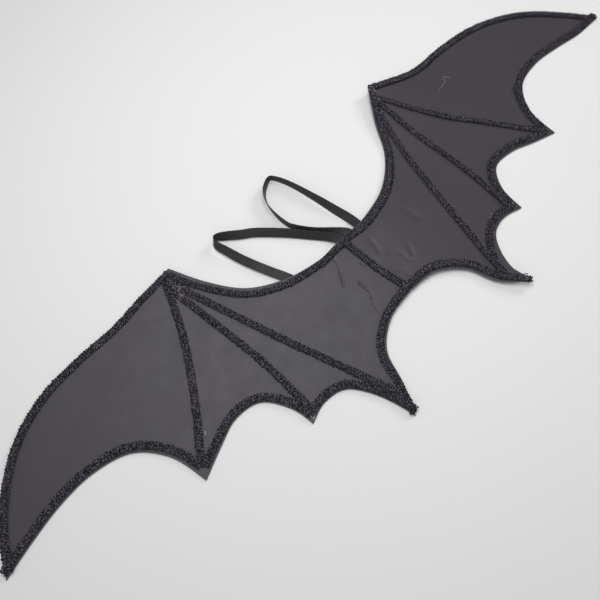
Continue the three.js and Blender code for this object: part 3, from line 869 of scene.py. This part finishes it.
def plait(node, line, settings, raised, stray):
    """Vertices, faces and painted light and shade of a flat plait of paired yarns laid along a line, frayed
    at its ends.
    """
    line = extended(line, FRAY)
    total = travelled(line)[-1]
    full_reach = (settings.width - YARNS_IN_STRAND * settings.yarn) / 2
    swing = (settings.height - settings.yarn) / 2
    wave = TURN / (STRANDS * settings.pitch)
    count = int(total / YARN_STEP)
    knots = np.arange(0, total + STRAY_STEP, STRAY_STEP)
    parts, painted_light_masks = [], []
    for strand in range(STRANDS):
        wander = stray.normal(0, STRAY, (2, len(knots)))
        for yarn in range(YARNS_IN_STRAND):
            first, last = stray.uniform(0, FRAY, 2)
            s = np.linspace(first, total - last, count)
            inside = np.clip(np.minimum(s, total - s) / END_TAPER, 0, 1)
            taper = 1 - END_NARROWING * (1 - np.sqrt(1 - (1 - inside) ** 2))
            phase = wave * s + TURN * strand / STRANDS
            reach = full_reach * width_shares(node, s / total)
            aside = reach * (np.sin(phase) - LOBE * np.sin(3 * phase)) / (1 + LOBE) * taper
            aside = aside + np.interp(s, knots, wander[0])
            over = swing * np.sin((STRANDS - 1) * phase) + STRAY_RISE * np.interp(s, knots, wander[1])
            slope = reach * wave * np.cos(phase)
            lean = np.hypot(1, slope)
            offset = (yarn - (YARNS_IN_STRAND - 1) / 2) * settings.yarn
            at = s - offset * slope / lean * inside
            places, directions = resample(line, at)
            middle = places + across_line(directions) * (aside + offset / lean)[:, None]
            seat = raised(middle, at)
            path = np.column_stack([middle, seat + settings.height / 2 + over])
            rings, painted_light_mask = tube(path, settings.yarn / 2, YARN_FLATNESS, PLY_RELIEF)
            # Painted shade: the yarn darker low down near the foam, in full light towards the braid's top.
            height_light = np.clip(LOW_SHADE_GAIN * (rings[..., 2] - seat[:, None]) / settings.height, 0, 1)
            parts.append((rings, tube_faces(count, YARN_SIDES)))
            # One yarn of each pair takes a weaker share of the painted glint.
            painted_light_masks.append((painted_light_mask * height_light * (1 if yarn else WEAK_GLINT_YARN)).ravel())
    return *joined(parts), np.concatenate(painted_light_masks)


def crossing_rise(line, laid, settings):
    """How far a braid rides up along its line, where it runs over the braids that were laid before it."""
    rise = np.zeros(len(line))
    for earlier in laid:
        gap, _ = distance_to(earlier, line)
        near = np.clip((RIDE_START * settings.width - gap) / (RIDE_LENGTH * settings.width), 0, 1)
        rise = np.maximum(rise, near * near * (3 - 2 * near))
    return RIDE_HEIGHT * settings.height * rise


def braid_piece(node, line, laid, material, context):
    """Lays one braid on the sheet, over the braids that were glued on before it."""
    settings, foam = context.scene.bat_braid, context.scene.bat_foam
    total = travelled(line)[-1]
    line, _ = resample(line, np.linspace(0, total, int(total / MM)))
    rise = crossing_rise(line, laid, settings)
    along = travelled(line)

    def raised(places, at):
        return lift(places[:, 0], places[:, 1]) + foam.thickness + np.interp(at, along, rise)

    stray = np.random.default_rng(len(laid))
    vertices, faces, painted_light_masks = plait(node, line, settings, raised, stray)
    piece = make_mesh(f"woven_{node}", vertices, faces, material, {"painted_light_mask": painted_light_masks})
    finish_piece(piece, "gimp", node)
    laid.append(line)


# Middle lines of the braids laid so far, in order.
LAID = []


class WINGS_OT_edge_braids(bpy.types.Operator):
    """Glues the braid along the edge of the sheet"""

    bl_idname = "bat_wings.edge_braids"
    bl_label = "Edge braids"

    def execute(self, context):
        settings = context.scene.bat_braid
        material = braid_material(settings)
        LAID.clear()
        for braid in EDGE_BRAIDS:
            braid_piece(braid["node"], edge_line(braid, settings.width), LAID, material, context)
        return {"FINISHED"}


class WINGS_OT_rib_braids(bpy.types.Operator):
    """Glues on the ribs and the strip down the middle"""

    bl_idname = "bat_wings.rib_braids"
    bl_label = "Rib braids"

    def execute(self, context):
        material = braid_material(context.scene.bat_braid)
        for node, rows in RIB_BRAIDS.items():
            braid_piece(node, smooth_line(rows, (HALF_SPAN, DEPTH)), LAID, material, context)
        return {"FINISHED"}


def strap_stations(rows, settings):
    """Places and rolls along a strap, its glued ends included."""
    half = settings.width / 2

    def glued(row, share):
        x, y = row[0] * LOOP_REACH, row[1] * LOOP_REACH - share * GLUE_LENGTH
        ceiling = min(float(lift(x - half, y)), float(lift(x + half, y)))
        return [x, y, ceiling - GLUE_GAP - settings.thickness / 2, row[-1]]

    free = [[x * LOOP_REACH, y * LOOP_REACH, rise * settings.width, roll] for x, y, rise, roll in rows[1:-1]]
    starts = [glued(rows[0], share) for share in GLUED_SHARES[::-1]]
    ends = [glued(rows[-1], share) for share in GLUED_SHARES]
    return np.array([*starts, *free, *ends])


def strap_section(settings):
    """The elastic's section: fine cords side by side, closed at both edges."""
    across = np.linspace(-0.5, 0.5, CORDS * POINTS_IN_CORD + 1)
    swell = CORD_RELIEF * np.abs(np.sin(np.pi * CORDS * (across + 0.5)))
    fade = np.sqrt(np.clip(1 - (2 * np.abs(across)) ** EDGE_SQUARENESS, 0, 1))
    half = settings.thickness / 2 * (CORD_BASE + swell) * fade
    wide = across * settings.width
    top = np.column_stack([wide, half])
    bottom = np.column_stack([wide[1:-1], -half[1:-1]])[::-1]
    return np.vstack([top, bottom])


def top_heights(places, context):
    """Heights of whatever lies uppermost at places: the sheet or the braid on it."""
    braid = context.scene.bat_braid
    height = lift(places[:, 0], places[:, 1]) + context.scene.bat_foam.thickness - pressed(places)
    nearest = np.min([distance_to(line, places)[0] for line in LAID], axis=0)
    covered = np.sqrt(np.clip(1 - (2 * nearest / braid.width) ** CROWN_SQUARENESS, 0, 1))
    return height + CROWN_HEIGHT * braid.height * covered


def blob(speck, height, stray):
    """A low dome of glue with an uneven rim, as rings of corners."""
    middle_x, middle_y, length, width, turn = speck
    turn = math.radians(turn)
    angle = np.arange(BLOB_SIDES) / BLOB_SIDES * TURN
    uneven = 1 + stray.uniform(-BLOB_UNEVENNESS, BLOB_UNEVENNESS, BLOB_SIDES)
    rise = (np.arange(BLOB_RINGS) + 0.5) / BLOB_RINGS * math.pi - math.pi / 2
    along = length * MM / 2 * np.cos(rise)[:, None] * (np.cos(angle) * uneven)
    across = width * MM / 2 * np.cos(rise)[:, None] * (np.sin(angle) * uneven)
    x = middle_x * HALF_SPAN + along * math.cos(turn) - across * math.sin(turn)
    y = middle_y * DEPTH + along * math.sin(turn) + across * math.cos(turn)
    z = np.broadcast_to(height + BLOB_HEIGHT * width * MM * np.sin(rise)[:, None], x.shape)
    return np.dstack([x, y, z]), tube_faces(BLOB_RINGS, BLOB_SIDES)


def curl_plans(stray):
    """Plans of short curled ends of yarn, several to each tangle."""
    plans = []
    for tangle in TANGLES:
        middle = np.array([tangle["x"] * HALF_SPAN, tangle["y"] * DEPTH])
        for _ in range(tangle["ends"]):
            centre = middle + stray.normal(0, TANGLE_SPREAD, 2) * tangle["reach"]
            length = stray.uniform(*CURL_LENGTHS)
            bend = stray.choice([-1, 1]) / stray.uniform(*CURL_RADII)
            heading = stray.uniform(0, TURN) + bend * np.linspace(0, length, CURL_POINTS)
            steps = np.column_stack([np.cos(heading), np.sin(heading)]) * length / (CURL_POINTS - 1)
            plan = np.cumsum(steps, axis=0)
            plans.append(plan + centre - plan.mean(axis=0))
    return plans


def curls(settings, context, stray):
    """Short curled ends of yarn lying over each other, and one ring."""
    plans = curl_plans(stray)
    seats = top_heights(np.vstack(plans), context).reshape(len(plans), CURL_POINTS)
    evening = np.full(CURL_SMOOTHING, 1 / CURL_SMOOTHING)
    radius = CURL_THICKNESS * settings.yarn / 2
    parts = []
    for plan, seat in zip(plans, seats):
        smooth = np.convolve(np.pad(seat, CURL_SMOOTHING // 2, "edge"), evening, "valid")
        arch = np.sin(np.linspace(0, math.pi, CURL_POINTS)) * stray.uniform(*CURL_ARCHES)
        path = np.column_stack([plan, smooth + arch + stray.uniform(*CURL_SEATS)])
        rings, _ = tube(path, radius, CURL_FLATNESS, PLY_RELIEF)
        parts.append((rings, tube_faces(CURL_POINTS, YARN_SIDES)))
    angle = np.linspace(0, TURN * RING_TURNS, RING_POINTS)
    middle = np.array([RING["x"] * HALF_SPAN, RING["y"] * DEPTH])
    plan = middle + RING["radius"] * np.column_stack([np.cos(angle), np.sin(angle)])
    height = top_heights(plan, context).max() + RING["rise"] * angle / angle[-1]
    rings, _ = tube(np.column_stack([plan, height]), RING["thick"] / 2, CURL_FLATNESS, PLY_RELIEF)
    return [*parts, (rings, tube_faces(RING_POINTS, YARN_SIDES))]


class WINGS_OT_details(bpy.types.Operator):
    """Makes the loose ends of yarn and the dried glue"""

    bl_idname = "bat_wings.details"
    bl_label = "Loose yarn and glue"

    def execute(self, context):
        settings = context.scene.bat_braid
        stray = np.random.default_rng(DETAILS_SEED)
        vertices, faces = joined(curls(settings, context, stray))
        yarn = make_mesh("loose_yarn_ends", vertices, faces, loose_yarn_material(settings))
        finish_piece(yarn, "gimp")

        seats = top_heights(np.array(SPECKS)[:, :2] * (HALF_SPAN, DEPTH), context)
        glue_parts = [blob(speck, seat, stray) for speck, seat in zip(SPECKS, seats)]
        smear = smooth_line(SMEAR, (HALF_SPAN, DEPTH), SMEAR_STEPS)
        path = np.column_stack([smear, top_heights(smear, context)])
        rings, _ = tube(path, SMEAR_WIDTH / 2, SMEAR_FLATNESS)
        glue_parts.append((rings, tube_faces(len(smear), YARN_SIDES)))
        vertices, faces = joined(glue_parts)
        glue = make_mesh("glue_specks", vertices, faces, glue_material())
        finish_piece(glue, "foam")
        return {"FINISHED"}


class WINGS_OT_arm_loops(bpy.types.Operator):
    """Makes the elastic arm loops"""

    bl_idname = "bat_wings.arm_loops"
    bl_label = "Arm loops"

    def execute(self, context):
        settings = context.scene.bat_loops
        material = elastic_material(settings)
        section = strap_section(settings)
        sides = len(section)
        for loop in LOOPS:
            line = smooth_line(strap_stations(loop["rows"], settings), steps=STRAP_CURVE_STEPS)
            along = travelled(line[:, :3])
            count = int(along[-1] / STRAP_STEP)
            distances = np.linspace(0, along[-1], count)
            samples = sampled(line, along, distances)
            places, roll = samples[:, :3], np.radians(samples[:, 3:])
            ahead, side, rise = directions_along(places)
            across = side * np.cos(roll) + rise * np.sin(roll)
            through = np.cross(ahead, across)
            rings = (
                places[:, None, :]
                + across[:, None, :] * section[None, :, :1]
                + through[:, None, :] * section[None, :, 1:]
            )
            uv = np.stack([np.repeat(distances, sides), np.tile(section[:, 0], count)], axis=1) / MM
            fade = np.clip((distances / along[-1] - loop["faded_from"]) / FADE_SHARE, 0, 1)
            piece = make_mesh(
                loop["name"], rings.reshape(-1, 3), tube_faces(count, sides), material,
                {"faded": np.repeat(fade, sides)}, uv
            )
            finish_piece(piece, "elastic", loop["node"])
        return {"FINISHED"}


FLOOR_REACH = 3.0
FLOOR_PATCHES = 6.0
FLOOR_DARK = 0.99

# The light from all round: its bright side, how far towards it its dim and bright ends are, and their
# strengths as shares of the fill.
BRIGHT_SIDE = (-0.8, -0.1, 0.6)
TENT_ENDS = (-0.4, 0.9)
TENT_SHARES = (0.05, 1.6)
WHITE = (1, 1, 1, 1)
OVERHEAD = {"place": (-0.02, 0.17, 0.8), "aim": (0, 0, 0), "size": 0.6}
RIGHT_SIDE = {"place": (1.6, 0.05, 0.9), "aim": (0.1, 0.05, 0), "size": 0.7}

LENS = 33.6
CLIP_START = 0.01
CAMERA_PLACE = (-0.23187, -0.11764, 0.54131)
CAMERA_RIGHT = (0.700561, -0.713511, 0.010763)
CAMERA_UP = (0.667887, 0.660927, 0.342204)
CAMERA_BACK = (-0.25128, -0.232546, 0.939564)


def link(name, data):
    """A new object in the scene."""
    made = bpy.data.objects.new(name, data)
    bpy.context.scene.collection.objects.link(made)
    return made


def pale_floor(colour):
    """A flat floor of one pale colour, with faint patches."""
    shader = Shader("pale_floor")
    patches = shader.mix(shader.noise(FLOOR_PATCHES), tone(colour, FLOOR_DARK), tuple(colour))
    mesh = bpy.data.meshes.new("floor")
    corners = [(x * FLOOR_REACH, y * FLOOR_REACH, 0) for x, y in ((-1, -1), (1, -1), (1, 1), (-1, 1))]
    mesh.from_pydata(corners, [], [(0, 1, 2, 3)])
    mesh.materials.append(shader.set(Base_Color=patches, Roughness=0.8, Specular_IOR_Level=0.2))
    link("floor", mesh)


def soft_tent(fill):
    """Light from all round, stronger on one side."""
    world = bpy.data.worlds.new("soft_tent")
    world.use_nodes = True
    nodes = Nodes(world.node_tree)
    towards = nodes.node("ShaderNodeVectorMath", operation="DOT_PRODUCT")
    nodes.feed(towards.inputs[0], nodes.node("ShaderNodeTexCoord").outputs["Generated"])
    nodes.feed(towards.inputs[1], BRIGHT_SIDE)
    dim, bright = (share * fill for share in TENT_SHARES)
    background = world.node_tree.nodes["Background"]
    nodes.feed(background.inputs["Strength"], nodes.ramp(towards.outputs["Value"], *TENT_ENDS, dim, bright))
    nodes.feed(background.inputs["Color"], WHITE)
    bpy.context.scene.world = world


def area_light(name, plan, power):
    """A square soft light, aimed at a place."""
    data = bpy.data.lights.new(name, "AREA")
    data.shape = "RECTANGLE"
    data.size = data.size_y = plan["size"]
    data.energy = power
    made = link(name, data)
    made.location = plan["place"]
    made.rotation_mode = "QUATERNION"
    made.rotation_quaternion = (Vector(plan["aim"]) - Vector(plan["place"])).to_track_quat("-Z", "Y")
    return made


def view_camera():
    """The camera, where the photograph was taken from."""
    data = bpy.data.cameras.new("camera")
    data.lens = LENS
    data.clip_start = CLIP_START
    camera = link("camera", data)
    axes = Matrix((CAMERA_RIGHT, CAMERA_UP, CAMERA_BACK)).transposed().to_4x4()
    camera.matrix_world = Matrix.Translation(CAMERA_PLACE) @ axes
    return camera


class WINGS_OT_stage(bpy.types.Operator):
    """Makes the floor, the lights and the camera"""

    bl_idname = "bat_wings.stage"
    bl_label = "Stage"

    def execute(self, context):
        settings = context.scene.bat_stage
        pale_floor(settings.floor_colour)
        soft_tent(settings.fill)
        area_light("overhead", OVERHEAD, settings.light)
        area_light("right_side", RIGHT_SIDE, settings.side_light).visible_glossy = False
        context.scene.view_settings.view_transform = "Standard"
        context.scene.camera = view_camera()
        return {"FINISHED"}


class WINGS_PT_panel(bpy.types.Panel):
    """Lists the pieces of the bat wings and their settings"""

    bl_idname = "WINGS_PT_panel"
    bl_label = "Bat wings"
    bl_space_type = "VIEW_3D"
    bl_region_type = "UI"
    bl_category = "Bat wings"

    def draw(self, context):
        scene = context.scene
        for group, operators in GROUPS:
            settings = getattr(scene, group)
            box = self.layout.box()
            for name in settings.__annotations__:
                box.prop(settings, name)
            for operator in operators:
                box.operator(operator.bl_idname)


GROUPS = [
    ("bat_foam", [WINGS_OT_sheet]),
    ("bat_braid", [WINGS_OT_edge_braids, WINGS_OT_rib_braids, WINGS_OT_details]),
    ("bat_loops", [WINGS_OT_arm_loops]),
    ("bat_stage", [WINGS_OT_stage]),
]
SETTINGS = {
    "bat_foam": FoamSettings,
    "bat_braid": BraidSettings,
    "bat_loops": LoopSettings,
    "bat_stage": StageSettings,
}
OPERATORS = [
    WINGS_OT_sheet, WINGS_OT_edge_braids, WINGS_OT_rib_braids, WINGS_OT_details, WINGS_OT_arm_loops,
    WINGS_OT_stage,
]


def register():
    for made in (*SETTINGS.values(), *OPERATORS, WINGS_PT_panel):
        bpy.utils.register_class(made)
    for name, group in SETTINGS.items():
        setattr(bpy.types.Scene, name, PointerProperty(type=group))


def unregister():
    for name in SETTINGS:
        delattr(bpy.types.Scene, name)
    for made in reversed((*SETTINGS.values(), *OPERATORS, WINGS_PT_panel)):
        bpy.utils.unregister_class(made)


def main():
    register()
    bpy.ops.bat_wings.sheet()
    bpy.ops.bat_wings.edge_braids()
    bpy.ops.bat_wings.rib_braids()
    bpy.ops.bat_wings.details()
    bpy.ops.bat_wings.arm_loops()
    bpy.ops.bat_wings.stage()


if __name__ == "__main__":
    main()
